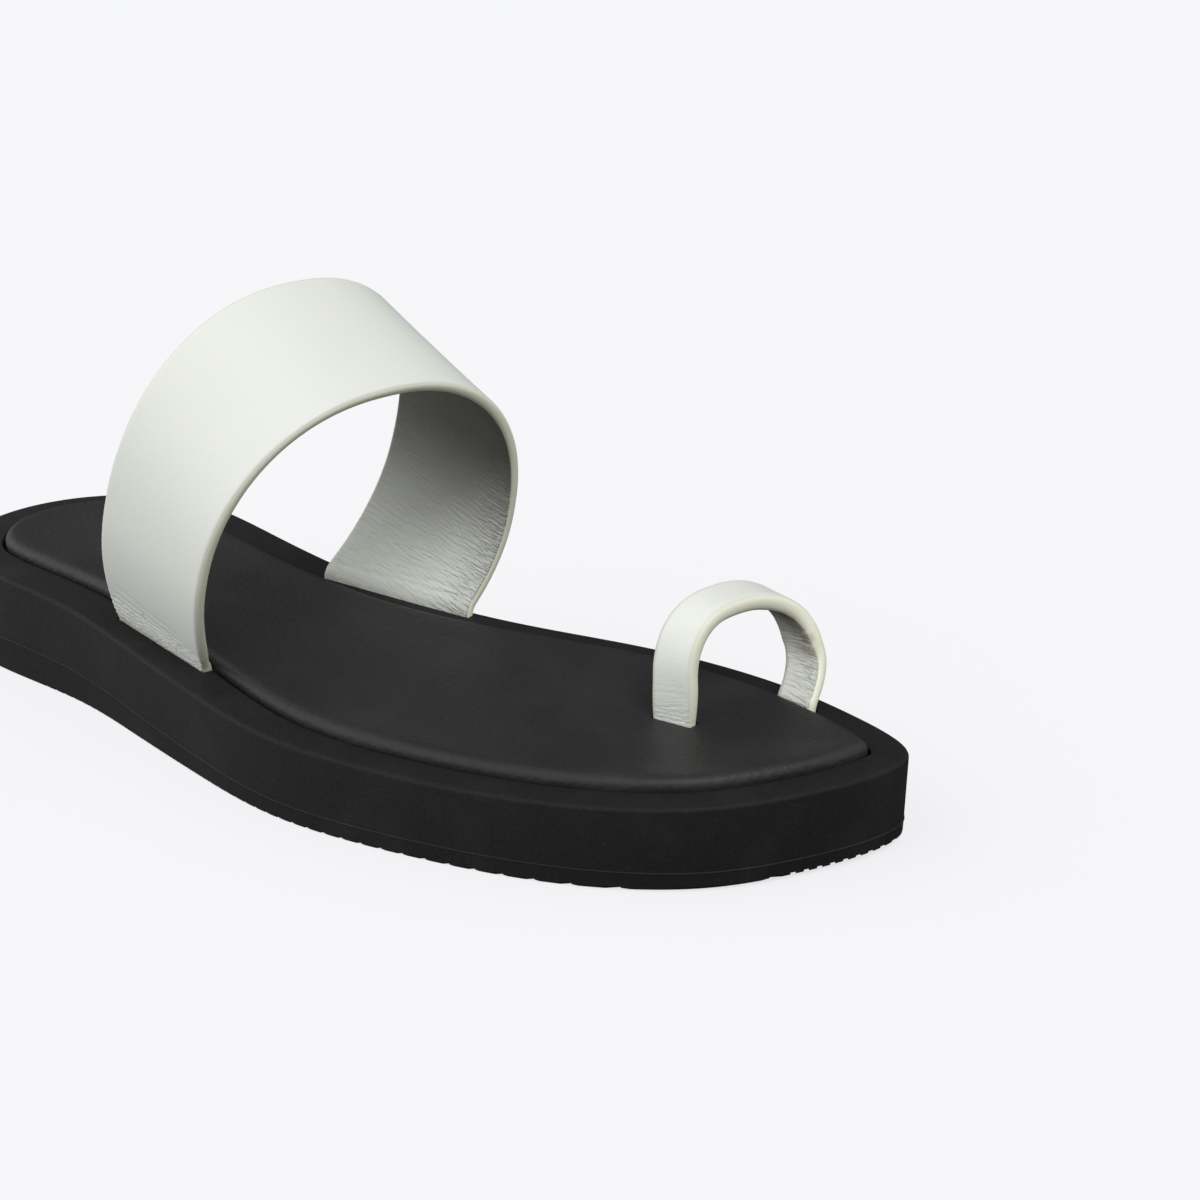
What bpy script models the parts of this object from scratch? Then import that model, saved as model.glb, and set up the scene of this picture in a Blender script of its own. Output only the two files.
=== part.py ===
"""Toe loop sandal, right shoe, standing empty on its sole.

A leather-covered footbed sits in a recess of a low foam wedge on a thin rubber outsole.
A wide leather band over the instep and a narrow leather loop for the big toe are tucked
in between the footbed and the rim.

Frame: metres, +Z up, -Y to the toe, +X to the inner side of the foot. The origin is on
the floor, at the middle of the sole's length and of its width. The outline's own table
measures across from the line through the middle of the heel, and along from the toe.
"""

import math

import bpy
import bmesh
import numpy as np

# Sole: outline and heights
SOLE_LENGTH = 0.259
BALL_WIDTH = 0.0900
HEEL_WIDTH = 0.0680
FOREFOOT_HEIGHT = 0.0173
HEEL_HEIGHT = 0.0264
TOE_SPRING = 0.0011
SPRING_LENGTH = 0.058
SIDE_DRAFT = 0.0007
RIM_ROUNDING = 0.0010
FOOT_CHAMFER = 0.0005

# Outsole
OUTSOLE_FOREFOOT = 0.0040
OUTSOLE_HEEL = 0.0092

# Rim, recess and footbed
RIM_FOREFOOT = 0.0073
RIM_HEEL = 0.0102
RECESS_DEPTH = 0.0046
FOOTBED_PROUD = 0.0024
FOOTBED_ROLL = 0.0022
FOOTBED_DISH = 0.0009
GROOVE = 0.0007

# Dish of the footbed: distance in from its edge (rolls), share of the dish's depth
DISH_STEPS = ((2.5, 0.35), (6.0, 1.0))

# Instep strap
STRAP_THICKNESS = 0.0026
STRAP_WIDTH = 0.0400
STRAP_SPAN = 0.0826
STRAP_CROWN = 0.0611
STRAP_SEAT = 0.0013

# Toe loop
LOOP_THICKNESS = 0.0036
LOOP_WIDTH = 0.0100
LOOP_SPAN = 0.0344
LOOP_CROWN = 0.0248
LOOP_SEAT = 0.0014

# Softened edge of the straps
EDGE_BEVEL = 0.0008

# How the ends are held: depth below the rim, and share of a leg's slope kept down to the rim
TUCK_DEPTH = 0.0030
SEAT_SLANT = 0.6
CLEARANCE = 0.0003

# Outer side of the sole: along from the toe (share of SOLE_LENGTH), out (share of BALL_WIDTH)
OUTER_SIDE = (
    (0.030, 0.025),
    (0.075, 0.200),
    (0.140, 0.325),
    (0.220, 0.415),
    (0.310, 0.480),
    (0.410, 0.514),
    (0.520, 0.482),
    (0.630, 0.430),
    (0.740, 0.387),
)

# Inner side of the sole, same columns
INNER_SIDE = (
    (0.035, 0.374),
    (0.075, 0.416),
    (0.140, 0.464),
    (0.220, 0.484),
    (0.310, 0.456),
    (0.410, 0.377),
    (0.520, 0.312),
    (0.630, 0.306),
    (0.740, 0.337),
)

# Tip of the toe, to the inner side, share of BALL_WIDTH
TOE_TIP = 0.280

# Directions round the heel at which the outline meets its arc, in degrees from straight back
HEEL_ARC = (-90, -60, -30, 0, 30, 60, 90)

# Top of the rim: along, share of the rise from forefoot to heel
RIM_RISE = ((0.00, 0.08), (0.25, 0.00), (0.50, 0.26), (0.75, 0.74), (1.00, 1.00))

# Top of the outsole: along, share of the rise from forefoot to heel
OUTSOLE_RISE = ((0.00, 0.05), (0.25, 0.00), (0.45, 0.08), (0.60, 0.38), (0.78, 0.86), (1.00, 1.00))

# Width of the rim: along, share of the growth from forefoot to heel
RIM_GROWTH = ((0.00, 0.00), (0.20, 0.00), (0.40, 0.20), (0.55, 0.80), (0.75, 1.00), (1.00, 1.00))

# Each edge of a strap is an arch over the foot. Columns:
# along at the outer leg and at the inner leg (share of SOLE_LENGTH),
# set back of each leg (share of the strap's width),
# middle across (share of BALL_WIDTH), half span (share of the span),
# height of the middle and rise above it (share of the crown),
# lean to the heel and sway to the inner side for each unit of height,
# squareness, how far each leg's foot is drawn to the inner side, and how far the outer
# leg's foot is set back to the heel (shares of the span)
STRAP_EDGES = {
    "front": dict(outer=0.524, inner=0.467, back_outer=0.0, back_inner=0.0,
                  middle=-0.025, half_span=0.500, centre=0.396, rise=0.604,
                  lean=-0.389, sway=-0.081, square=0.90,
                  draw_outer=-0.010, draw_inner=0.0, retreat=0.016),
    "back": dict(outer=0.524, inner=0.467, back_outer=0.918, back_inner=1.052,
                 middle=-0.037, half_span=0.478, centre=0.556, rise=0.722,
                 lean=-0.458, sway=-0.058, square=0.88,
                 draw_outer=-0.010, draw_inner=-0.003, retreat=0.016),
}
LOOP_EDGES = {
    "front": dict(outer=0.1546, inner=0.1076, back_outer=0.0, back_inner=0.0,
                  middle=0.270, half_span=0.485, centre=0.333, rise=0.669,
                  lean=0.187, sway=-0.029, square=0.80,
                  draw_outer=-0.081, draw_inner=-0.145, retreat=0.023),
    "back": dict(outer=0.1546, inner=0.1076, back_outer=1.05, back_inner=0.96,
                 middle=0.292, half_span=0.511, centre=0.365, rise=0.626,
                 lean=0.179, sway=-0.010, square=0.83,
                 draw_outer=-0.094, draw_inner=-0.059, retreat=0.0),
}

# Fineness of the meshes
OUTLINE_STEPS = 720
STATIONS = 52
ROLL_STEPS = 4
STRAP_FOLDS = 44
LOOP_FOLDS = 36
BAND_STEPS = 3
BEVEL_SEGMENTS = 2

# Angles in degrees: edges shaded as sharp, and edges of a strap that are softened
SHARP_ANGLE = 35.0
SOFTENED_ANGLE = 50.0

# A drawn-in point is kept if it lies at least this share of the width from the outline
KEPT_SHARE = 0.985

# Highest ratio of an arch's middle height to its rise, below which its feet stay apart
STEEPEST_ARCH = 0.98

# Colours as linear RGB, with roughness
BLACK_RUBBER = ((0.010, 0.010, 0.011), 0.75)
BLACK_FOAM = ((0.013, 0.013, 0.014), 0.70)
BLACK_LEATHER = ((0.015, 0.015, 0.016), 0.50)
IVORY_LEATHER = ((0.74, 0.75, 0.68), 0.45)


def clear_scene():
    """Remove every object of the scene that is open."""
    for item in list(bpy.data.objects):
        bpy.data.objects.remove(item, do_unlink=True)


def new_collection(name):
    """A collection under the scene."""
    group = bpy.data.collections.new(name)
    bpy.context.scene.collection.children.link(group)
    return group


def make_material(name, finish):
    """A Principled material from a colour and a roughness."""
    colour, roughness = finish
    material = bpy.data.materials.new(name)
    material.use_nodes = True
    shader = material.node_tree.nodes["Principled BSDF"]
    shader.inputs["Base Color"].default_value = (*colour, 1.0)
    shader.inputs["Roughness"].default_value = roughness
    shader.inputs["Metallic"].default_value = 0.0
    material.diffuse_color = (*colour, 1.0)
    return material


def curve_moments(knots, values, closed):
    """Second derivatives of the cubic spline through the values, natural or closed."""
    count = len(knots) - 1 if closed else len(knots)
    steps = np.diff(knots)
    matrix = np.zeros((count, count))
    right = np.zeros((count, values.shape[1]))
    slopes = np.diff(values, axis=0) / steps[:, None]
    for row in range(count):
        if not closed and row in (0, count - 1):
            matrix[row, row] = 1.0
            continue
        before = (row - 1) % len(steps)
        matrix[row, (row - 1) % count] += steps[before]
        matrix[row, row] += 2 * (steps[before] + steps[row])
        matrix[row, (row + 1) % count] += steps[row]
        right[row] = 6 * (slopes[row] - slopes[before])
    moments = np.linalg.solve(matrix, right)
    return np.vstack([moments, moments[:1]]) if closed else moments


def curve_at(knots, values, places, closed=False):
    """Points of the cubic spline through the values at the given places."""
    moments = curve_moments(knots, values, closed)
    cell = np.clip(np.searchsorted(knots, places, side="right") - 1, 0, len(knots) - 2)
    width = (knots[cell + 1] - knots[cell])[:, None]
    after = (places - knots[cell])[:, None] / width
    ahead = 1 - after
    bend = (ahead**3 - ahead) * moments[cell] + (after**3 - after) * moments[cell + 1]
    return ahead * values[cell] + after * values[cell + 1] + bend * width**2 / 6


def share_at(table, along):
    """Value of a table of shares at one or more places along the sole."""
    rows = np.array(table)
    places = np.atleast_1d(np.asarray(along, float))
    return curve_at(rows[:, 0], rows[:, 1:], places)[:, 0]


def rim_height(along):
    """Height of the rim's flat top at a share of the length."""
    return FOREFOOT_HEIGHT + (HEEL_HEIGHT - FOREFOOT_HEIGHT) * share_at(RIM_RISE, along)


def outsole_top(along):
    """Height of the outsole's upper face."""
    return OUTSOLE_FOREFOOT + (OUTSOLE_HEEL - OUTSOLE_FOREFOOT) * share_at(OUTSOLE_RISE, along)


def rim_width(along):
    """Width of the rim between the sole's edge and the recess."""
    return RIM_FOREFOOT + (RIM_HEEL - RIM_FOREFOOT) * share_at(RIM_GROWTH, along)


def floor_line(along):
    """Underside of the sole: flat, and lifted a little at the toe."""
    reach = SPRING_LENGTH / SOLE_LENGTH
    lift = np.clip((reach - np.asarray(along, float)) / reach, 0, 1)
    return TOE_SPRING * lift**2


def sole_outline():
    """Closed outline of the sole: x, and distance from the toe."""
    heel_radius = HEEL_WIDTH / 2
    points = [(TOE_TIP * BALL_WIDTH, 0.0)]
    points += [(-out * BALL_WIDTH, along * SOLE_LENGTH) for along, out in OUTER_SIDE]
    for turn in HEEL_ARC:
        angle = math.radians(turn)
        back = SOLE_LENGTH - heel_radius + heel_radius * math.cos(angle)
        points.append((heel_radius * math.sin(angle), back))
    points += [(out * BALL_WIDTH, along * SOLE_LENGTH) for along, out in reversed(INNER_SIDE)]
    points.append(points[0])
    points = np.array(points)
    chords = np.hypot(*np.diff(points, axis=0).T)
    knots = np.concatenate([[0.0], np.cumsum(np.sqrt(chords))])
    places = np.linspace(0.0, knots[-1], OUTLINE_STEPS, endpoint=False)
    return curve_at(knots, points, places, closed=True)


def frame_centre():
    """Middle of the outline's box: across, and distance from the toe."""
    outline = sole_outline()
    return (outline.min(axis=0) + outline.max(axis=0)) / 2


def inset_outline(outline, width):
    """The outline drawn in by a width that may change along the sole."""
    tangent = np.roll(outline, -1, axis=0) - np.roll(outline, 1, axis=0)
    normal = np.stack([-tangent[:, 1], tangent[:, 0]], axis=1)
    normal /= np.hypot(*normal.T)[:, None]
    if np.sum((outline.mean(axis=0) - outline) * normal) < 0:
        normal = -normal
    along = np.clip(outline[:, 1] / SOLE_LENGTH, 0, 1)
    amount = width(along)
    moved = outline + normal * amount[:, None]
    apart = np.hypot(moved[:, None, 0] - outline[None, :, 0], moved[:, None, 1] - outline[None, :, 1])
    kept = apart.min(axis=1) >= amount * KEPT_SHARE
    return moved[kept]


def section_ring(outline, width, height):
    """A ring of points with a rung across the sole at each station, toe to heel and back."""
    drawn = inset_outline(outline, width)
    toe, heel = int(np.argmin(drawn[:, 1])), int(np.argmax(drawn[:, 1]))
    down = np.roll(drawn, -toe, axis=0)
    split = (heel - toe) % len(drawn)
    first, second = down[:split + 1], np.vstack([down[split:], down[:1]])[::-1]
    outer, inner = (first, second) if first[:, 0].mean() < second[:, 0].mean() else (second, first)
    spread = (1 - np.cos(np.pi * np.arange(STATIONS + 1) / STATIONS)) / 2
    along = drawn[toe, 1] + (drawn[heel, 1] - drawn[toe, 1]) * spread
    left = np.interp(along, outer[:, 1], outer[:, 0])
    right = np.interp(along, inner[:, 1], inner[:, 0])
    level = height(np.clip(along / SOLE_LENGTH, 0, 1))
    centre = (outline.min(axis=0) + outline.max(axis=0)) / 2
    left, right, places = left - centre[0], right - centre[0], along - centre[1]
    ring = [(left[i], places[i], level[i]) for i in range(STATIONS + 1)]
    ring += [(right[i], places[i], level[i]) for i in range(STATIONS - 1, 0, -1)]
    return ring


def add_ladder(mesh, ring):
    """Close a ring with a strip of faces from rung to rung."""
    count = len(ring)
    for i in range(STATIONS):
        corners = [ring[i], ring[i + 1], ring[(count - i - 1) % count], ring[(count - i) % count]]
        mesh.faces.new(list(dict.fromkeys(corners)))


def new_object(name, mesh, group, finish):
    """An object with its own material from a finished bmesh."""
    bmesh.ops.recalc_face_normals(mesh, faces=mesh.faces)
    data = bpy.data.meshes.new(name)
    mesh.to_mesh(data)
    mesh.free()
    item = bpy.data.objects.new(name, data)
    group.objects.link(item)
    data.materials.append(make_material(name + "_finish", finish))
    data.shade_smooth()
    data.set_sharp_from_angle(angle=math.radians(SHARP_ANGLE))
    return item


def loft_sole(name, rings, group, finish):
    """A closed solid through rings that follow the outline."""
    outline = sole_outline()
    mesh = bmesh.new()
    loops = []
    for width, height in rings:
        points = section_ring(outline, width, height)
        loops.append([mesh.verts.new(point) for point in points])
    for low, high in zip(loops, loops[1:]):
        for i in range(len(low)):
            j = (i + 1) % len(low)
            mesh.faces.new((low[i], low[j], high[j], high[i]))
    add_ladder(mesh, loops[0])
    add_ladder(mesh, loops[-1])
    return new_object(name, mesh, group, finish)


def constant(value):
    """A width that is the same all along the sole."""
    return lambda along: np.full(len(along), value)


def build_outsole(group):
    """Thin rubber layer with its underside on the floor and a small chamfer round it."""
    rings = [
        (constant(SIDE_DRAFT + FOOT_CHAMFER), floor_line),
        (constant(SIDE_DRAFT), lambda s: floor_line(s) + FOOT_CHAMFER),
        (lambda s: SIDE_DRAFT * (1 - outsole_top(s) / rim_height(s)), outsole_top),
    ]
    return loft_sole("outsole", rings, group, BLACK_RUBBER)


def build_midsole(group):
    """Foam wedge with a rounded rim and a recess for the footbed."""
    def base(along):
        return outsole_top(along) + CLEARANCE

    def draft(along):
        return SIDE_DRAFT * (1 - base(along) / rim_height(along))

    shoulder = 1 - math.sqrt(0.5)
    rings = [
        (draft, base),
        (constant(0.0), lambda s: rim_height(s) - RIM_ROUNDING),
        (constant(RIM_ROUNDING * shoulder), lambda s: rim_height(s) - RIM_ROUNDING * shoulder),
        (constant(RIM_ROUNDING), rim_height),
        (rim_width, rim_height),
        (lambda s: rim_width(s) + CLEARANCE, lambda s: rim_height(s) - RECESS_DEPTH),
    ]
    return loft_sole("midsole", rings, group, BLACK_FOAM)


def footbed_top(along):
    """Height of the footbed's rolled edge."""
    return rim_height(along) + FOOTBED_PROUD


def footbed_edge(along):
    """Distance of the footbed's edge from the sole's edge."""
    return rim_width(along) + GROOVE


def footbed_base(along):
    """Height of the footbed's underside."""
    return rim_height(along) - RECESS_DEPTH + CLEARANCE


def build_footbed(group):
    """Pad with a rolled edge and a slightly dished top."""
    rings = [
        (lambda s: footbed_edge(s) + FOOT_CHAMFER, footbed_base),
        (footbed_edge, lambda s: footbed_base(s) + FOOT_CHAMFER),
    ]
    for step in range(ROLL_STEPS + 1):
        angle = math.radians(90) * step / ROLL_STEPS
        inward = FOOTBED_ROLL * (1 - math.cos(angle))
        upward = FOOTBED_ROLL * (math.sin(angle) - 1)
        rings.append((lambda s, w=inward: footbed_edge(s) + w, lambda s, h=upward: footbed_top(s) + h))
    for reach, drop in DISH_STEPS:
        rings.append((lambda s, w=FOOTBED_ROLL * reach: footbed_edge(s) + w,
                      lambda s, h=FOOTBED_DISH * drop: footbed_top(s) - h))
    return loft_sole("footbed", rings, group, BLACK_LEATHER)


def arch_edge(edge, width, span, crown, seat, folds, deeper=0.0):
    """Points of one edge of a strap from the outer leg's tucked end to the inner one's."""
    outer = edge["outer"] * SOLE_LENGTH + edge["back_outer"] * width
    inner = edge["inner"] * SOLE_LENGTH + edge["back_inner"] * width
    ground = float(rim_height((outer + inner) / 2 / SOLE_LENGTH)[0])
    centre, rise = edge["centre"] * crown, edge["rise"] * crown
    half = edge["half_span"] * span
    origin = frame_centre()
    start = math.asin(min(centre / rise, STEEPEST_ARCH))
    points = []
    for fold in range(folds + 1):
        share = fold / folds
        angle = math.pi + start - (math.pi + 2 * start) * share
        power = edge["square"] if math.sin(angle) > 0 else 1.0
        out = math.copysign(abs(math.cos(angle)) ** power, math.cos(angle))
        up = math.copysign(abs(math.sin(angle)) ** power, math.sin(angle))
        height = centre + rise * up
        low = min(max(1 - height / centre, 0.0), 1.0) ** 2
        draw, retreat = (edge["draw_outer"], edge["retreat"]) if share < 0.5 else (edge["draw_inner"], 0.0)
        across = edge["middle"] * BALL_WIDTH + half * out + edge["sway"] * height + draw * span * low
        along = outer + (inner - outer) * share + edge["lean"] * height + retreat * span * low
        place = across - origin[0], along - origin[1], ground + seat + height
        points.append(np.array(place))
    first, last = (tucked_end(*pair, seat, TUCK_DEPTH + deeper) for pair in (points[:2], points[:-3:-1]))
    return first[::-1] + points + last


def tucked_end(foot, above, seat, depth):
    """The end of a leg: on in its own direction down to the rim, then straight down."""
    slope = (above - foot) / (above[2] - foot[2])
    at_rim = foot - slope * seat * SEAT_SLANT
    at_rim[2] = foot[2] - seat
    return [at_rim, at_rim - np.array((0.0, 0.0, depth))]


def strap_surface(edges, sizes, folds, deeper=0.0, wider=0.0):
    """Open sheet of a strap's outer face, ruled from its back edge to its front edge."""
    front = arch_edge(edges["front"], *sizes, folds, deeper)
    back = arch_edge(edges["back"], *sizes, folds, deeper)
    mesh = bmesh.new()
    rows = []
    for near, far in zip(front, back):
        side = (near - far) / np.linalg.norm(near - far) * wider
        ends = far - side, near + side
        row = [ends[0] + (ends[1] - ends[0]) * step / BAND_STEPS for step in range(BAND_STEPS + 1)]
        rows.append([mesh.verts.new(point) for point in row])
    for low, high in zip(rows, rows[1:]):
        for i in range(BAND_STEPS):
            mesh.faces.new((low[i], low[i + 1], high[i + 1], high[i]))
    return mesh


def point_outward(item):
    """Turn the faces of an open sheet so that the crown faces up."""
    data = item.data
    crown = max(data.polygons, key=lambda face: face.center.z)
    if crown.normal.z < 0:
        data.flip_normals()


def solidify(item, thickness, offset):
    """Give an open sheet its thickness, inward from the outer face."""
    modifier = item.modifiers.new("thickness", "SOLIDIFY")
    modifier.thickness = thickness
    modifier.offset = offset
    modifier.use_even_offset = True


def build_strap(name, edges, sizes, folds, thickness, group):
    """A leather band of real thickness with softened edges."""
    item = new_object(name, strap_surface(edges, sizes, folds), group, IVORY_LEATHER)
    point_outward(item)
    solidify(item, thickness, -1.0)
    bevel = item.modifiers.new("soft_edges", "BEVEL")
    bevel.width = EDGE_BEVEL
    bevel.segments = BEVEL_SEGMENTS
    bevel.limit_method = "ANGLE"
    bevel.angle_limit = math.radians(SOFTENED_ANGLE)
    return item


def build_slot_cutter(name, edges, sizes, folds, thickness, group):
    """The strap's own form, larger by the clearance all round."""
    mesh = strap_surface(edges, sizes, folds, deeper=CLEARANCE, wider=CLEARANCE)
    item = new_object(name, mesh, group, IVORY_LEATHER)
    point_outward(item)
    growth = thickness + 2 * CLEARANCE
    solidify(item, growth, -1 + 2 * CLEARANCE / growth)
    item.hide_render = True
    item.display_type = "WIRE"
    return item


def cut(item, cutter):
    """Take a cutter's form out of a piece."""
    modifier = item.modifiers.new("slot_" + cutter.name, "BOOLEAN")
    modifier.operation = "DIFFERENCE"
    modifier.solver = "EXACT"
    modifier.object = cutter


def main():
    """Build every piece and cut the slots that hold the straps."""
    clear_scene()
    parts = new_collection("toe_loop_sandal")
    cutters = new_collection("cutters")
    build_outsole(parts)
    midsole = build_midsole(parts)
    footbed = build_footbed(parts)
    strap = (STRAP_EDGES, (STRAP_WIDTH, STRAP_SPAN, STRAP_CROWN, STRAP_SEAT), STRAP_FOLDS, STRAP_THICKNESS)
    loop = (LOOP_EDGES, (LOOP_WIDTH, LOOP_SPAN, LOOP_CROWN, LOOP_SEAT), LOOP_FOLDS, LOOP_THICKNESS)
    build_strap("instep_strap", *strap, parts)
    build_strap("toe_loop", *loop, parts)
    strap_slot = build_slot_cutter("strap_slot", *strap, cutters)
    loop_slot = build_slot_cutter("loop_slot", *loop, cutters)
    for item in (midsole, footbed):
        cut(item, strap_slot)
        cut(item, loop_slot)


main()
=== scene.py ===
"""Looks of the toe loop sandal: finer pieces, finishes, studio floor, light and camera.

Frame: metres, +Z up, -Y to the toe, +X to the inner side of the foot. The sole's outline
is worked out across from the line through the middle of the heel, and along from the toe.
"""

import math

import bpy
import bmesh
import numpy as np
from bpy.props import FloatProperty, FloatVectorProperty, PointerProperty
from bpy.types import Operator, Panel, PropertyGroup
from mathutils import Matrix, Vector


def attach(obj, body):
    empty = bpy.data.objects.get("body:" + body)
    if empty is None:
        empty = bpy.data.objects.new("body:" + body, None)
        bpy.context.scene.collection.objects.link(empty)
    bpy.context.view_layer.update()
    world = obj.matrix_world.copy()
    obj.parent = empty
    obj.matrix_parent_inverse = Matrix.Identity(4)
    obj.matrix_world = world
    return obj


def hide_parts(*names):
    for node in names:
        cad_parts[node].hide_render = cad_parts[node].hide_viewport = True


bl_info = {
    "name": "Toe loop sandal",
    "version": (1, 0, 0),
    "blender": (4, 5, 0),
    "location": "View3D > Sidebar > Sandal",
    "description": "Builds a toe loop sandal with its finishes, and a studio round it",
    "category": "Add Mesh",
}

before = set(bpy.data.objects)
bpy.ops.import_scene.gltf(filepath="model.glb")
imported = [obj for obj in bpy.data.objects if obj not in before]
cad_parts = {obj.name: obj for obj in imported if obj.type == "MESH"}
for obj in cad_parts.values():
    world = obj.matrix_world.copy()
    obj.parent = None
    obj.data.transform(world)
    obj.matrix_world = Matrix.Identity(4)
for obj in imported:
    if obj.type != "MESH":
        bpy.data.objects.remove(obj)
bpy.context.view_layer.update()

BODY = "root"

# Outer side of the sole: along from the toe (share of the length), out (share of the ball width)
OUTER_SIDE = (
    (0.030, 0.025),
    (0.075, 0.200),
    (0.140, 0.325),
    (0.220, 0.415),
    (0.310, 0.480),
    (0.410, 0.514),
    (0.520, 0.482),
    (0.630, 0.430),
    (0.740, 0.387),
)

# Inner side of the sole, same columns
INNER_SIDE = (
    (0.035, 0.374),
    (0.075, 0.416),
    (0.140, 0.464),
    (0.220, 0.484),
    (0.310, 0.456),
    (0.410, 0.377),
    (0.520, 0.312),
    (0.630, 0.306),
    (0.740, 0.337),
)

# Tip of the toe, to the inner side, share of the ball width
TOE_TIP = 0.280

# Directions round the heel at which the outline meets its arc, in degrees from straight back
HEEL_ARC = (-90, -60, -30, 0, 30, 60, 90)

# Top of the rim: along, share of the rise from forefoot to heel
RIM_RISE = ((0.00, 0.08), (0.25, 0.00), (0.50, 0.26), (0.75, 0.74), (1.00, 1.00))

# Top of the outsole: along, share of the rise from forefoot to heel
OUTSOLE_RISE = ((0.00, 0.05), (0.25, 0.00), (0.45, 0.08), (0.60, 0.38), (0.78, 0.86), (1.00, 1.00))

# Width of the rim: along, share of the growth from forefoot to heel
RIM_GROWTH = ((0.00, 0.00), (0.20, 0.00), (0.40, 0.20), (0.55, 0.80), (0.75, 1.00), (1.00, 1.00))

# Dish of the footbed: distance in from its edge (rolls), share of the dish's depth
DISH_STEPS = ((1.6, 0.10), (2.5, 0.35), (4.0, 0.75), (6.0, 1.0))

# Each edge of a strap is an arch over the foot. Its values:
# along at the outer leg and at the inner leg (share of the sole's length),
# set back of each leg (share of the strap's width),
# middle across (share of the ball width), half span (share of the span),
# height of the middle and rise above it (share of the crown),
# lean to the heel and sway to the inner side for each unit of height,
# squareness, how far each leg's foot is drawn to the inner side, and how far the outer
# leg's foot is set back to the heel (shares of the span)
INSTEP_EDGES = {
    "front": dict(outer=0.524, inner=0.467, back_outer=0.0, back_inner=0.0,
                  middle=-0.025, half_span=0.500, centre=0.396, rise=0.604,
                  lean=-0.389, sway=-0.081, square=0.90,
                  draw_outer=-0.010, draw_inner=0.0, retreat=0.016),
    "back": dict(outer=0.524, inner=0.467, back_outer=0.918, back_inner=1.052,
                 middle=-0.037, half_span=0.478, centre=0.556, rise=0.722,
                 lean=-0.458, sway=-0.058, square=0.88,
                 draw_outer=-0.010, draw_inner=-0.003, retreat=0.016),
}
LOOP_EDGES = {
    "front": dict(outer=0.1546, inner=0.1076, back_outer=0.0, back_inner=0.0,
                  middle=0.270, half_span=0.485, centre=0.333, rise=0.669,
                  lean=0.187, sway=-0.029, square=0.80,
                  draw_outer=-0.081, draw_inner=-0.145, retreat=0.023),
    "back": dict(outer=0.1546, inner=0.1076, back_outer=1.05, back_inner=0.96,
                 middle=0.292, half_span=0.511, centre=0.365, rise=0.626,
                 lean=0.179, sway=-0.010, square=0.83,
                 draw_outer=-0.094, draw_inner=-0.059, retreat=0.0),
}

# Trim of each edge, finer than the arch. Columns: share of the way from the outer foot to
# the inner one, then millimetres to the inner side, to the heel and up
INSTEP_TRIM = {
    "front": ((0.00, -1.3, 1.6, 0), (0.03, -0.6, 0.7, 0), (0.06, -0.2, 0.2, 0), (0.10, 0, 0, 0),
              (0.14, 0, 0, 0), (0.50, 0, 0, 0), (0.82, 0, 0, 0), (0.86, 0, 0, 0),
              (0.90, 0.1, 0, 0), (0.95, 0.3, 0, 0), (1.00, 0.7, 0, 0)),
    "back": ((0.00, -1.4, 1.8, 0), (0.03, -0.7, 0.8, 0), (0.06, -0.2, 0.2, 0), (0.10, 0, 0, 0),
             (0.14, 0, 0, 0), (0.50, 0, 0, 0), (0.90, 0, 0, 0), (0.94, 0.1, 0, 0),
             (1.00, 0.9, 0, 0)),
}
LOOP_TRIM = {
    "front": ((0.00, 2.2, 0, 0), (0.12, 1.5, 0, -0.3), (0.26, 1.6, 0, -0.9), (0.42, 1.1, 0, -1.0),
              (0.58, 0.4, 0, -1.3), (0.74, 1.0, 0, 0.3), (0.88, 1.6, 0, 1.6), (1.00, 1.9, 0, 0)),
    "back": ((0.00, -0.2, 0, 0), (0.12, -0.5, 0, -0.2), (0.26, 0.2, 0, 0.4), (0.42, 0.5, 0, 0.4),
             (0.58, 0.5, 0, 0), (0.74, 0.3, 0, 0.2), (0.88, -0.7, 0, 0.3), (1.00, -2.3, 0, 0)),
}

# Creases of a strap. Columns: leg (-1 is the outer one, 1 the inner one), then millimetres
# above its foot at the front edge and at the back edge, deep and half wide, then the share
# of the strap's width where the crease starts and ends
INSTEP_CREASES = (
    (-1, 0.8, 2.0, 0.30, 0.45, 0.00, 1.00),
    (-1, 1.9, 4.2, 0.38, 0.50, 0.00, 1.00),
    (-1, 3.2, 6.6, 0.38, 0.55, 0.00, 1.00),
    (-1, 4.7, 9.2, 0.34, 0.60, 0.00, 1.00),
    (-1, 6.4, 12.0, 0.26, 0.65, 0.02, 1.00),
    (-1, 8.3, 15.0, 0.18, 0.70, 0.10, 0.95),
    (-1, 10.4, 18.2, 0.10, 0.80, 0.20, 0.90),
    (1, 1.2, 1.0, 0.12, 0.50, 0.05, 0.95),
    (1, 3.0, 2.6, 0.10, 0.60, 0.10, 0.80),
)
LOOP_CREASES = (
    (-1, 0.8, 0.7, 0.10, 0.25, 0.00, 1.00),
    (-1, 1.7, 1.5, 0.09, 0.28, 0.05, 0.90),
    (-1, 2.7, 2.3, 0.07, 0.30, 0.10, 0.80),
    (-1, 3.9, 3.3, 0.05, 0.34, 0.20, 0.75),
    (1, 1.1, 0.9, 0.12, 0.35, 0.00, 1.00),
    (1, 2.5, 2.2, 0.09, 0.45, 0.10, 0.90),
)

# Share of a strap's width over which a crease fades in at its start and out at its end
CREASE_FADES = (0.12, 0.18)

# Waviness of a crease: millimetres, radians across the strap, and radians for each
# millimetre of height
CREASE_WAVES = ((0.16, 17.0, 5.0), (0.10, 43.0, 9.0))

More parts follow.
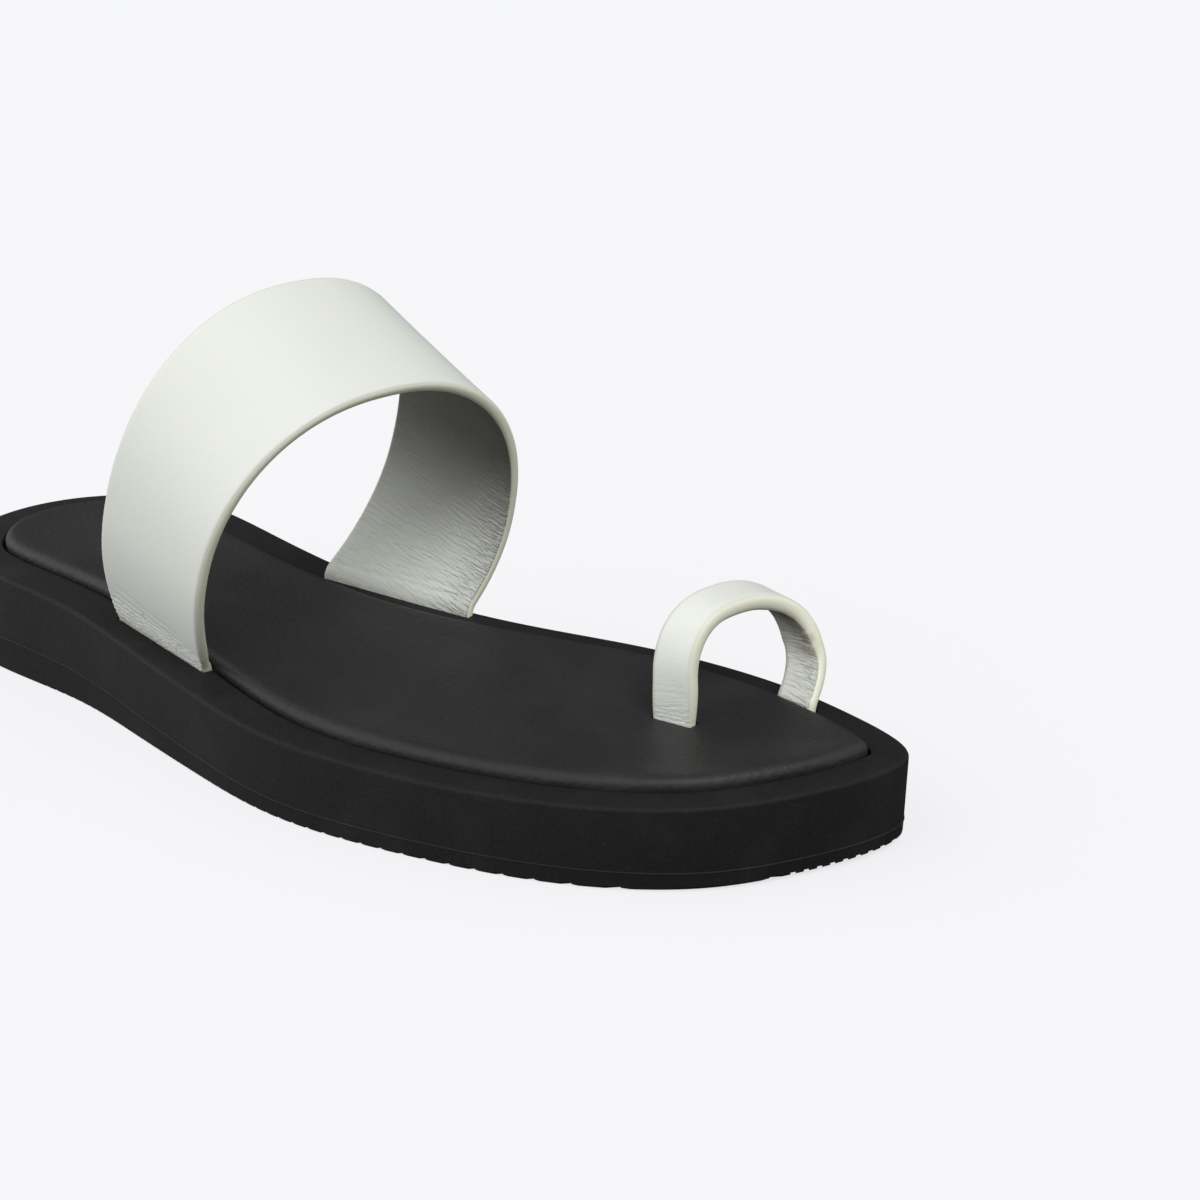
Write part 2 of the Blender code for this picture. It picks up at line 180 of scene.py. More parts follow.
# Rubbed marks: along from the outer foot, across from the front edge, reach along and
# across, strength, and whether the mark is on the lining. Metres.
INSTEP_STAINS = (
    (0.078, 0.010, 0.0030, 0.0022, 0.35, True),
    (0.012, 0.022, 0.0007, 0.0006, 0.60, False),
)
LOOP_STAINS = (
    (0.060, 0.0025, 0.0085, 0.0040, 0.75, True),
    (0.051, 0.0030, 0.0050, 0.0050, 0.60, True),
)

# How the ends are held: depth below the rim, and share of a leg's slope kept down to the rim
TUCK_DEPTH = 0.0030
SEAT_SLANT = 0.6

# Chevron ribs of the outsole: degrees from straight across, reach to each side (share of the
# ball width), groove (share of the pitch), and how far the cutter starts below, in metres
RIB_SLANT = 45.0
RIB_REACH = 0.65
GROOVE_SHARE = 0.42
CUTTER_BELOW = 0.001

# Shares of a strap's thickness over which the paint begins and the lining begins
PAINT_START = (0.05, 0.12)
LINING_START = (0.90, 0.97)

# Scale of each pattern in the finishes, for each metre: more is finer
FOAM_GRAIN = 1500.0
FOAM_PITS = 700.0
FOAM_WEAR = 60.0
FOOTBED_PEBBLES = 850.0
FOOTBED_GRAIN = 1700.0
FOOTBED_SCUFFS = 45.0
LEATHER_GRAIN = 2300.0
LEATHER_PORES = 1500.0
LEATHER_SHADE = 55.0
STAIN_BLOTCHES = 420.0
FOLDS_ALONG = 1300.0
FOLDS_ACROSS = 210.0

# Directions of the lit side and the lit front: to the inner side, to the heel
LIT_SIDE = (-0.80, 0.60)
LIT_FRONT = (0.50, -0.85)

# Light from the floor on the lit side and all round, for 1 on the lit front
SIDE_BOUNCE = 3.5
EVEN_BOUNCE = 0.2

# Light from all round the horizon
EVEN_SKY = 0.04

# Fineness of the meshes
OUTLINE_STEPS = 1800
STATIONS = 170
ROUND_STEPS = 5
ROLL_STEPS = 9
CORNER_STEPS = 5
ARCH_STEPS = 1500
CUTTER_FOLDS = 60
RIB_SEGMENTS = 12
BURIED_ROWS = 8
LEAST_COLUMNS = 4

# Bands of the outsole, counted from its top, that make up the flash
FLASH_BANDS = 3

# Edges shaded as sharp on the sole and on the straps, in degrees
SOLE_SHARP_ANGLE = 32.0
STRAP_SHARP_ANGLE = 60.0

# Softening of a strap's run: step along it in metres, and steps to each side
RUN_STEP = 0.0001
SOFT_STEPS = 24

# A drawn-in point is kept if it lies at least this share of the width from the outline
KEPT_SHARE = 0.985

# Highest ratio of an arch's middle height to its rise, below which its feet stay apart
STEEPEST_ARCH = 0.98

MM = 0.001


# Settings

def length_property(name, description, default):
    """A length in metres."""
    return FloatProperty(name=name, description=description, default=default, min=0.0, unit="LENGTH",
                         precision=5)


def factor_property(name, description, default):
    """A share from 0 to 1."""
    return FloatProperty(name=name, description=description, default=default, min=0.0, max=1.0,
                         subtype="FACTOR")


def strength_property(name, description, default):
    """A strength of light."""
    return FloatProperty(name=name, description=description, default=default, min=0.0)


def angle_property(name, description, degrees):
    """An angle, given here in degrees."""
    return FloatProperty(name=name, description=description, default=math.radians(degrees), subtype="ANGLE")


def place_property(name, description, default):
    """A place in metres."""
    return FloatVectorProperty(name=name, description=description, default=default, size=3,
                               subtype="TRANSLATION", unit="LENGTH")


def colour_property(name, description, default):
    """A linear RGB colour."""
    return FloatVectorProperty(name=name, description=description, default=default, size=3,
                               subtype="COLOR", min=0.0, max=1.0)


class SoleSettings(PropertyGroup):
    """Sizes and colours of the outsole, the midsole and the footbed."""

    length: length_property("Length", "Length of the sole", 0.259)
    ball_width: length_property("Ball width", "Width of the sole at the ball", 0.0900)
    heel_width: length_property("Heel width", "Width of the sole at the heel", 0.0680)
    forefoot_height: length_property("Forefoot height", "Height of the rim at the forefoot", 0.0173)
    heel_height: length_property("Heel height", "Height of the rim at the heel", 0.0264)
    toe_spring: length_property("Toe spring", "Lift of the toe off the floor", 0.0011)
    spring_length: length_property("Spring length", "Length of the lifted stretch", 0.058)
    side_draft: length_property("Side draft", "How far the foot of the wall is drawn in", 0.0007)
    rim_rounding: length_property("Rim rounding", "Radius of the rim's edge", 0.0010)
    foot_chamfer: length_property("Foot chamfer", "Chamfer at the floor", 0.0004)
    outsole_forefoot: length_property("Outsole at the forefoot", "Thickness there", 0.0040)
    outsole_heel: length_property("Outsole at the heel", "Thickness there", 0.0092)
    lip: length_property("Lip", "How far the outsole's upper edge stands proud", 0.00012)
    rim_forefoot: length_property("Rim at the forefoot", "Width of the rim there", 0.0073)
    rim_heel: length_property("Rim at the heel", "Width of the rim there", 0.0102)
    recess_depth: length_property("Recess depth", "Depth of the footbed's recess", 0.0046)
    footbed_proud: length_property("Footbed proud", "Height of the footbed over the rim", 0.0024)
    footbed_roll: length_property("Footbed roll", "Radius of the footbed's edge", 0.0022)
    footbed_dish: length_property("Footbed dish", "Hollow of the footbed", 0.0009)
    groove: length_property("Groove", "Gap between the footbed and the rim", 0.0007)
    clearance: length_property("Clearance", "Gap between pieces that meet", 0.0003)
    tread_pitch: length_property("Tread pitch", "Distance from rib to rib", 0.0027)
    tread_depth: length_property("Tread depth", "Depth of the grooves between ribs", 0.00060)
    tread_reach: factor_property("Tread reach", "Share of the length with ribs", 0.66)
    rubber_colour: colour_property("Outsole", "Colour of the outsole rubber", (0.0085, 0.0085, 0.0088))
    flash_colour: colour_property("Flash", "Colour of the line round the outsole's upper edge",
                                  (0.0150, 0.0150, 0.0154))
    foam_colour: colour_property("Midsole", "Colour of the midsole foam", (0.0092, 0.0092, 0.0095))
    footbed_colour: colour_property("Footbed", "Colour of the footbed leather", (0.0112, 0.0112, 0.0115))


class InstepSettings(PropertyGroup):
    """Sizes of the instep strap."""

    width: length_property("Width", "Width of the strap", 0.0400)
    span: length_property("Span", "Width of the arch", 0.0826)
    crown: length_property("Crown", "Height of the front edge over its feet", 0.0611)
    seat: length_property("Seat", "Height of the arch's feet over the rim", 0.0013)
    thickness: length_property("Thickness", "Thickness of the leather", 0.0026)
    thinning: factor_property("Thinning", "Share of the thickness lost at the feet", 0.0)
    thin_reach: length_property("Thinning reach", "Height over which the feet thin out", 0.0140)
    rounding: length_property("Edge rounding", "Radius of the painted edge", 0.0011)
    row_step: length_property("Row step", "Distance between rows of the mesh", 0.0007)
    fine_step: length_property("Fine step", "Distance between rows near the feet", 0.00025)
    fine_reach: length_property("Fine reach", "Length of the finely meshed feet", 0.0210)
    column_step: length_property("Column step", "Distance between columns of the mesh", 0.0007)


class LoopSettings(PropertyGroup):
    """Sizes of the toe loop."""

    width: length_property("Width", "Width of the loop", 0.0100)
    span: length_property("Span", "Width of the arch", 0.0344)
    crown: length_property("Crown", "Height of the front edge over its feet", 0.0248)
    seat: length_property("Seat", "Height of the arch's feet over the rim", 0.0014)
    thickness: length_property("Thickness", "Thickness of the padded leather", 0.0036)
    thinning: factor_property("Thinning", "Share of the thickness lost at the feet", 0.2)
    thin_reach: length_property("Thinning reach", "Height over which the feet thin out", 0.0140)
    rounding: length_property("Edge rounding", "Radius of the painted edge", 0.0016)
    row_step: length_property("Row step", "Distance between rows of the mesh", 0.0004)
    fine_step: length_property("Fine step", "Distance between rows near the feet", 0.00018)
    fine_reach: length_property("Fine reach", "Length of the finely meshed feet", 0.0060)
    column_step: length_property("Column step", "Distance between columns of the mesh", 0.0004)


class LeatherSettings(PropertyGroup):
    """Colours of the strap leather, of its painted edge and of the painted shade in its lining."""

    face: colour_property("Face", "Smooth outer side", (0.715, 0.735, 0.685))
    lining: colour_property("Lining", "Inner side at the feet", (0.62, 0.64, 0.59))
    # Painted shade: the lining's dark colour at the crown stands in for the shade inside the strap's arch
    lining_crown_shade: colour_property("Lining at the crown", "Darker inner side at the crown",
                                  (0.095, 0.094, 0.080))
    edge: colour_property("Edge", "Painted edge", (0.75, 0.755, 0.62))
    seam: colour_property("Seam", "Line between the paint and the leather", (0.42, 0.41, 0.32))
    stain: colour_property("Stain", "Rubbed marks", (0.21, 0.16, 0.085))


class StudioSettings(PropertyGroup):
    """Floor, light and camera."""

    floor_colour: colour_property("Floor", "Colour of the floor", (0.905, 0.908, 0.925))
    floor_glow: factor_property("Floor glow", "Share of the floor's colour that it gives itself", 0.80)
    floor_size: length_property("Floor size", "Side of the floor", 60.0)
    sky_high: strength_property("Sky above", "Strength of the light from straight above", 0.30)
    sky_side: strength_property("Sky at the side", "Strength of the light from the lit side", 1.55)
    sky_front: strength_property("Sky in front", "Strength of the light from in front of the toe", 0.9)
    sky_low: strength_property("Sky below", "Strength of the light from the floor", 0.12)
    key_strength: strength_property("Key strength", "Strength of the soft light", 1.5)
    key_angle: angle_property("Key angle", "Width of the soft light as the shoe sees it", 20)
    key_place: place_property("Key place", "Where the soft light comes from", (-0.30, -0.55, 0.78))
    camera_azimuth: angle_property("Camera azimuth", "Direction of view", -49.044)
    camera_elevation: angle_property("Camera elevation", "Height of view", 19.718)
    camera_roll: angle_property("Camera roll", "Turn of the camera about its view", -0.931)
    camera_place: place_property("Camera place", "Location of the camera", (-0.27110, -0.31628, 0.17550))
    camera_lens: FloatProperty(name="Lens", description="Focal length", default=59.03, min=1.0,
                               unit="CAMERA")
    camera_shift: FloatVectorProperty(name="Shift", description="Lens shift as a share of the picture's side",
                                      size=2, default=(-0.0209, 0.0018))


class SandalSettings(PropertyGroup):
    """All settings of the sandal."""

    sole: PointerProperty(type=SoleSettings)
    instep: PointerProperty(type=InstepSettings)
    loop: PointerProperty(type=LoopSettings)
    leather: PointerProperty(type=LeatherSettings)
    studio: PointerProperty(type=StudioSettings)


# Curves

def curve_moments(knots, values, closed):
    """Second derivatives of the cubic spline through the values, natural or closed."""
    count = len(knots) - 1 if closed else len(knots)
    steps = np.diff(knots)
    matrix = np.zeros((count, count))
    right = np.zeros((count, values.shape[1]))
    slopes = np.diff(values, axis=0) / steps[:, None]
    for row in range(count):
        if not closed and row in (0, count - 1):
            matrix[row, row] = 1.0
            continue
        before = (row - 1) % len(steps)
        matrix[row, (row - 1) % count] += steps[before]
        matrix[row, row] += 2 * (steps[before] + steps[row])
        matrix[row, (row + 1) % count] += steps[row]
        right[row] = 6 * (slopes[row] - slopes[before])
    moments = np.linalg.solve(matrix, right)
    return np.vstack([moments, moments[:1]]) if closed else moments


def curve_at(knots, values, places, closed=False):
    """Points of the cubic spline through the values at the given places."""
    moments = curve_moments(knots, values, closed)
    cell = np.clip(np.searchsorted(knots, places, side="right") - 1, 0, len(knots) - 2)
    width = (knots[cell + 1] - knots[cell])[:, None]
    after = (places - knots[cell])[:, None] / width
    ahead = 1 - after
    bend = (ahead**3 - ahead) * moments[cell] + (after**3 - after) * moments[cell + 1]
    return ahead * values[cell] + after * values[cell + 1] + bend * width**2 / 6


def grade(forefoot, heel, table, along):
    """A size that grows from forefoot to heel by a table of shares, at places along the sole."""
    rows = np.array(table)
    places = np.atleast_1d(np.asarray(along, float))
    return forefoot + (heel - forefoot) * curve_at(rows[:, 0], rows[:, 1:], places)[:, 0]


def smooth_step(values):
    """Soft step from 0 to 1."""
    values = np.clip(values, 0.0, 1.0)
    return values * values * (3 - 2 * values)


class SoleShape:
    """Outline and heights of the sole, worked out from its settings."""

    def __init__(self, sizes):
        self.sizes = sizes
        self.outline = self._outline()
        self.centre = (self.outline.min(axis=0) + self.outline.max(axis=0)) / 2

    def _outline(self):
        """Closed outline of the sole: x, and distance from the toe."""
        length, width, radius = self.sizes.length, self.sizes.ball_width, self.sizes.heel_width / 2
        points = [(TOE_TIP * width, 0.0)]
        points += [(-out * width, along * length) for along, out in OUTER_SIDE]
        for turn in HEEL_ARC:
            angle = math.radians(turn)
            points.append((radius * math.sin(angle), length - radius + radius * math.cos(angle)))
        points += [(out * width, along * length) for along, out in reversed(INNER_SIDE)]
        points.append(points[0])
        points = np.array(points)
        chords = np.hypot(*np.diff(points, axis=0).T)
        knots = np.concatenate([[0.0], np.cumsum(np.sqrt(chords))])
        places = np.linspace(0.0, knots[-1], OUTLINE_STEPS, endpoint=False)
        return curve_at(knots, points, places, closed=True)

    def rim_height(self, along):
        """Height of the rim's flat top at a share of the length."""
        return grade(self.sizes.forefoot_height, self.sizes.heel_height, RIM_RISE, along)

    def outsole_top(self, along):
        """Height of the outsole's upper face."""
        return grade(self.sizes.outsole_forefoot, self.sizes.outsole_heel, OUTSOLE_RISE, along)

    def rim_width(self, along):
        """Width of the rim between the sole's edge and the recess."""
        return grade(self.sizes.rim_forefoot, self.sizes.rim_heel, RIM_GROWTH, along)

    def floor_line(self, along):
        """Underside of the sole: flat, and lifted a little at the toe."""
        reach = self.sizes.spring_length / self.sizes.length
        lift = np.clip((reach - np.asarray(along, float)) / reach, 0, 1)
        return self.sizes.toe_spring * lift**2

    def draft(self, along, height):
        """How far the wall is drawn in at a height."""
        return self.sizes.side_draft * (1 - height / self.rim_height(along))

    def inset(self, width):
        """The outline drawn in by a width that may change along the sole."""
        outline = self.outline
        tangent = np.roll(outline, -1, axis=0) - np.roll(outline, 1, axis=0)
        normal = np.stack([-tangent[:, 1], tangent[:, 0]], axis=1)
        normal /= np.hypot(*normal.T)[:, None]
        if np.sum((outline.mean(axis=0) - outline) * normal) < 0:
            normal = -normal
        amount = width(np.clip(outline[:, 1] / self.sizes.length, 0, 1))
        moved = outline + normal * amount[:, None]
        apart = np.hypot(moved[:, None, 0] - outline[None, :, 0], moved[:, None, 1] - outline[None, :, 1])
        kept = apart.min(axis=1) >= np.abs(amount) * KEPT_SHARE
        return moved[kept]

    def ring(self, width, height):
        """A ring of points with a rung across the sole at each station, toe to heel and back."""
        drawn = self.inset(width)
        toe, heel = int(np.argmin(drawn[:, 1])), int(np.argmax(drawn[:, 1]))
        down = np.roll(drawn, -toe, axis=0)
        split = (heel - toe) % len(drawn)
        first, second = down[:split + 1], np.vstack([down[split:], down[:1]])[::-1]
        outer, inner = (first, second) if first[:, 0].mean() < second[:, 0].mean() else (second, first)
        spread = (1 - np.cos(np.pi * np.arange(STATIONS + 1) / STATIONS)) / 2
        along = drawn[toe, 1] + (drawn[heel, 1] - drawn[toe, 1]) * spread
        left = np.interp(along, outer[:, 1], outer[:, 0]) - self.centre[0]
        right = np.interp(along, inner[:, 1], inner[:, 0]) - self.centre[0]
        level = height(np.clip(along / self.sizes.length, 0, 1))
        places = along - self.centre[1]
        ring = [(left[i], places[i], level[i]) for i in range(STATIONS + 1)]
        return ring + [(right[i], places[i], level[i]) for i in range(STATIONS - 1, 0, -1)]


def constant(value):
    """A width that is the same all along the sole."""
    return lambda along: np.full(len(along), value)


# Meshes

def new_object(name, mesh, material, sharp_angle=SOLE_SHARP_ANGLE):
    """A smooth object with a material from a finished bmesh."""
    bmesh.ops.recalc_face_normals(mesh, faces=mesh.faces)
    data = bpy.data.meshes.new(name)
    mesh.to_mesh(data)
    mesh.free()
    item = bpy.data.objects.new(name, data)
    bpy.context.scene.collection.objects.link(item)
    if material:
        data.materials.append(material)
    data.shade_smooth()
    data.set_sharp_from_angle(angle=math.radians(sharp_angle))
    return item


def loft_sole(name, shape, rings, material, flash=None):
    """A closed solid through rings that follow the outline, with a flash near the last ring."""
    mesh = bmesh.new()
    loops = []
    for width, height in rings:
        loops.append([mesh.verts.new(point) for point in shape.ring(width, height)])
    for band, (low, high) in enumerate(zip(loops, loops[1:])):
        for i in range(len(low)):
            j = (i + 1) % len(low)
            face = mesh.faces.new((low[i], low[j], high[j], high[i]))
            face.material_index = int(flash is not None and band >= len(loops) - 1 - FLASH_BANDS)
    for ring in (loops[0], loops[-1]):
        count = len(ring)
        for i in range(STATIONS):
            corners = [ring[i], ring[i + 1], ring[(count - i - 1) % count], ring[(count - i) % count]]
            mesh.faces.new(list(dict.fromkeys(corners)))
    item = new_object(name, mesh, material)
    if flash:
        item.data.materials.append(flash)
    return item


def apply_modifiers(item):
    """Make the result of an object's modifiers its mesh."""
    graph = bpy.context.evaluated_depsgraph_get()
    data = bpy.data.meshes.new_from_object(item.evaluated_get(graph))
    old = item.data
    item.modifiers.clear()
    item.data = data
    data.name = old.name
    bpy.data.meshes.remove(old)


def cut(item, cutters):
    """Take the cutters' forms out of a piece, and remove them."""
    for cutter in cutters:
        modifier = item.modifiers.new(cutter.name, "BOOLEAN")
        modifier.operation = "DIFFERENCE"
        modifier.solver = "EXACT"
        modifier.object = cutter
    apply_modifiers(item)
    if not item.data.polygons:
        raise RuntimeError(f"nothing is left of {item.name} after its cuts")
    item.data.set_sharp_from_angle(angle=math.radians(SOLE_SHARP_ANGLE))
    for cutter in cutters:
        bpy.data.objects.remove(cutter, do_unlink=True)


def arch(shape, edge, trim, sizes, shares):
    """Points of one edge of a strap at shares of the way from its outer foot to its inner one."""
    sole = shape.sizes
    outer = edge["outer"] * sole.length + edge["back_outer"] * sizes.width
    inner = edge["inner"] * sole.length + edge["back_inner"] * sizes.width
    ground = float(shape.rim_height((outer + inner) / 2 / sole.length)[0])
    centre, rise = edge["centre"] * sizes.crown, edge["rise"] * sizes.crown
    start = math.asin(min(centre / rise, STEEPEST_ARCH))
    angle = math.pi + start - (math.pi + 2 * start) * shares
    power = np.where(np.sin(angle) > 0, edge["square"], 1.0)
    out = np.sign(np.cos(angle)) * np.abs(np.cos(angle)) ** power
    height = centre + rise * np.sign(np.sin(angle)) * np.abs(np.sin(angle)) ** power
    low = np.clip(1 - height / centre, 0, 1) ** 2
    draw = np.where(shares < 0.5, edge["draw_outer"], edge["draw_inner"])
    retreat = np.where(shares < 0.5, edge["retreat"], 0.0)
    across = (edge["middle"] * sole.ball_width + edge["half_span"] * sizes.span * out
              + edge["sway"] * height + draw * sizes.span * low)
    along = outer + (inner - outer) * shares + edge["lean"] * height + retreat * sizes.span * low
    level = ground + sizes.seat + height
    points = np.stack([across - shape.centre[0], along - shape.centre[1], level], axis=1)
    rows = np.array(trim)
    return points + curve_at(rows[:, 0], rows[:, 1:], shares) * MM


def strap_edges(shape, edges, trims, sizes, shares, depth):
    """Front and back edge of a strap: each leg on in its own direction to the rim, then down."""
    both = []
    for side in ("front", "back"):
        points = arch(shape, edges[side], trims[side], sizes, shares)
        ends = []
        for foot, above in ((points[0], points[1]), (points[-1], points[-2])):
            at_rim = foot - (above - foot) / (above[2] - foot[2]) * sizes.seat * SEAT_SLANT
            at_rim[2] = foot[2] - sizes.seat
            ends.append([at_rim, at_rim - np.array((0.0, 0.0, depth))])
        both.append(np.vstack([ends[0][::-1], points, ends[1]]))
    return both


def slot_cutter(name, shape, edges, trims, sizes, clearance):
    """A strap's own form, larger by the clearance all round."""
    shares = np.linspace(0, 1, CUTTER_FOLDS + 1)
    front, back = strap_edges(shape, edges, trims, sizes, shares, TUCK_DEPTH + clearance)
    across = (back - front) / np.linalg.norm(back - front, axis=1)[:, None] * clearance
    mesh = bmesh.new()
    rows = [[mesh.verts.new(a), mesh.verts.new(b)] for a, b in zip(front - across, back + across)]
    for low, high in zip(rows, rows[1:]):
        mesh.faces.new((low[0], low[1], high[1], high[0]))
    item = new_object(name, mesh, None)
    crown = max(item.data.polygons, key=lambda face: face.center.z)
    if crown.normal.z < 0:
        item.data.flip_normals()
    growth = sizes.thickness * (1 - sizes.thinning) + 2 * clearance
    modifier = item.modifiers.new("thickness", "SOLIDIFY")
    modifier.thickness = growth
    modifier.offset = -1 + 2 * clearance / growth
    modifier.use_even_offset = True
    apply_modifiers(item)
    return item


def crease_depth(creases, along, length, across, width):
    """Depth of all creases at places of a strap, in metres."""
    share = across / width
    depth = np.zeros(np.broadcast(along, across).shape)
    for leg, front, back, deep, half, start, end in creases:
        height = along if leg < 0 else length - along
        line = (front + (back - front) * share) * MM
        wave = sum(size * MM * np.sin(share * turns + front * shift) for size, turns, shift in CREASE_WAVES)
        trough = np.exp(-((height - line - wave) / (half * MM)) ** 2)
        fade_in, fade_out = CREASE_FADES
        reach = smooth_step((share - start) / fade_in + 0.5) * smooth_step((end - share) / fade_out + 0.5)
        depth = depth + deep * MM * trough * reach
    return depth


def strap_rows(sizes, length, tuck):
    """Places along a strap, closer together near its feet."""
    ends = np.arange(0.0, sizes.fine_reach, sizes.fine_step)
    middle = np.linspace(sizes.fine_reach, length - sizes.fine_reach,
                         int((length - 2 * sizes.fine_reach) / sizes.row_step))
    below = np.linspace(-tuck, 0.0, BURIED_ROWS, endpoint=False)
    return np.concatenate([below, ends, middle, (length - ends)[::-1], (length - below)[::-1]])


def strap_profile(sizes, width):
    """Path round a strap's section: share across, added distance across, depth."""
    radius, thickness = sizes.rounding, sizes.thickness
    count = max(int((width - 2 * radius) / sizes.column_step), LEAST_COLUMNS)
    face = [(share, radius * (1 - 2 * share)) for share in np.linspace(0, 1, count + 1)]
    turn = [math.radians(90) * step / CORNER_STEPS for step in range(1, CORNER_STEPS + 1)]
    down = [(radius * (1 - math.sin(a)), radius * (1 - math.cos(a))) for a in turn]
    edge = down + [(reach, thickness - depth) for reach, depth in reversed(down)]
    path = [(share, shift, 0.0) for share, shift in face]
    path += [(1.0, -reach, depth) for reach, depth in edge]
    path += [(share, shift, thickness) for share, shift in reversed(face)]
    path += [(0.0, reach, depth) for reach, depth in reversed(edge)]
    return np.array(path)


def build_strap(name, shape, edges, trims, sizes, creases, material):
    """A leather strap as one fine closed mesh: outer face, rounded edges and lining."""
    depth = sizes.seat + TUCK_DEPTH
    shares = np.linspace(0, 1, ARCH_STEPS + 1)
    front, back = strap_edges(shape, edges, trims, sizes, shares, TUCK_DEPTH)
    middle = (front + back) / 2
    line = np.concatenate([[0.0], np.cumsum(np.linalg.norm(np.diff(middle, axis=0), axis=1))]) - depth
    length = line[-1] - depth
    even = np.arange(line[0], line[-1], RUN_STEP)
    soften = np.hanning(2 * SOFT_STEPS + 1)
    soften /= soften.sum()

    def resample(points, places):
        dense = np.stack([np.interp(even, line, points[:, k]) for k in range(3)], axis=1)
        padded = np.pad(dense, ((SOFT_STEPS, SOFT_STEPS), (0, 0)), mode="reflect", reflect_type="odd")
        soft = np.stack([np.convolve(padded[:, k], soften, mode="valid") for k in range(3)], axis=1)
        return np.stack([np.interp(places, even, soft[:, k]) for k in range(3)], axis=1)

    rows = strap_rows(sizes, length, depth)
    front, back = resample(front, rows), resample(back, rows)
    ruling = back - front
    width = np.linalg.norm(ruling, axis=1)
    path = strap_profile(sizes, float(np.median(width)))
    share = path[None, :, 0] + path[None, :, 1] / width[:, None]
    surface = front[:, None] + ruling[:, None] * share[:, :, None]
    run = (np.gradient(front, rows, axis=0)[:, None] * (1 - share[:, :, None])
           + np.gradient(back, rows, axis=0)[:, None] * share[:, :, None])
    normal = np.cross(run, ruling[:, None])
    normal /= np.linalg.norm(normal, axis=2)[:, :, None]
    if normal[len(rows) // 2, 0, 2] < 0:
        normal = -normal
    foot_height = np.minimum(front[:, 2] - front[0, 2], front[:, 2] - front[-1, 2]) - depth
    thinned = sizes.thinning * smooth_step(1 - foot_height / sizes.thin_reach)
    below = path[None, :, 2] * (1 - thinned[:, None])
    along = np.broadcast_to(rows[:, None], share.shape)
    across = share * width[:, None]
    outer = smooth_step(1 - path[None, :, 2] / sizes.thickness)
    sunk = below + crease_depth(creases, along, length, across, width[:, None]) * (2 * outer - 1)
    points = surface - normal * sunk[:, :, None]
    item = grid_object(name, points, material)
    add_attribute(item, "along", along)
    add_attribute(item, "across", across)
    add_attribute(item, "crown", np.minimum(along, length - along) * 2 / length)
    add_attribute(item, "depth", np.broadcast_to(path[None, :, 2] / sizes.thickness, share.shape))
    return item


def grid_object(name, points, material):
    """A closed tube of faces through rows of points, with its ends capped."""
    rows, columns = points.shape[:2]
    index = np.arange(rows * columns).reshape(rows, columns)
    ahead = np.roll(index, -1, axis=1)
    faces = np.stack([index[:-1], ahead[:-1], ahead[1:], index[1:]], axis=-1).reshape(-1, 4).tolist()
    faces += [index[0, ::-1].tolist(), index[-1].tolist()]
    data = bpy.data.meshes.new(name)
    data.from_pydata(points.reshape(-1, 3).tolist(), [], faces)
    mesh = bmesh.new()
    mesh.from_mesh(data)
    bpy.data.meshes.remove(data)
    return new_object(name, mesh, material, STRAP_SHARP_ANGLE)


def add_attribute(item, name, values):
    """A number for each point of the mesh, for the material to read."""
    attribute = item.data.attributes.new(name, "FLOAT", "POINT")
    attribute.data.foreach_set("value", np.ascontiguousarray(values, dtype=np.float32).ravel())


# Shader expressions

class Wire:
    """A shader socket that takes part in Python expressions."""

    def __init__(self, graph, socket):
        self.graph = graph
        self.socket = socket

    def math(self, operation, *values):
        """A Math node on this socket and other values."""
        return self.graph.node("ShaderNodeMath", {"operation": operation}, dict(enumerate((self, *values))))

    def __add__(self, other):
        return self.math("ADD", other)

    __radd__ = __add__

    def __sub__(self, other):
        return self.math("SUBTRACT", other)

    def __rsub__(self, other):
        return self.graph.node("ShaderNodeMath", {"operation": "SUBTRACT"}, {0: other, 1: self})

    def __mul__(self, other):
        return self.math("MULTIPLY", other)

    __rmul__ = __mul__

    def step(self, low, high):
        """Soft step from 0 at low to 1 at high."""
        return self.graph.node("ShaderNodeMapRange", {"interpolation_type": "SMOOTHSTEP"},
                               {"Value": self, "From Min": low, "From Max": high})

    def spot(self, place, reach):
        """1 at a place, falling softly to 0 at the reach on both sides."""
        return 1 - (self - place).math("ABSOLUTE").step(0.0, reach)


class Graph:
    """A node tree that expressions add their nodes to."""

    def __init__(self, tree, shader):
        self.tree = tree
        self.shader = tree.nodes[shader]

    def node(self, kind, settings, sockets, output=0):
        """A node with its settings, then the values or links of its sockets."""
        node = self.tree.nodes.new(kind)
        for name, value in settings.items():
            setattr(node, name, value)
        for key, value in sockets.items():
            if isinstance(value, Wire):
                self.tree.links.new(value.socket, node.inputs[key])
            else:
                node.inputs[key].default_value = value
        return Wire(self, node.outputs[output])

    def link(self, name, wire):
        """Feed one socket of the shader."""
        self.tree.links.new(wire.socket, self.shader.inputs[name])


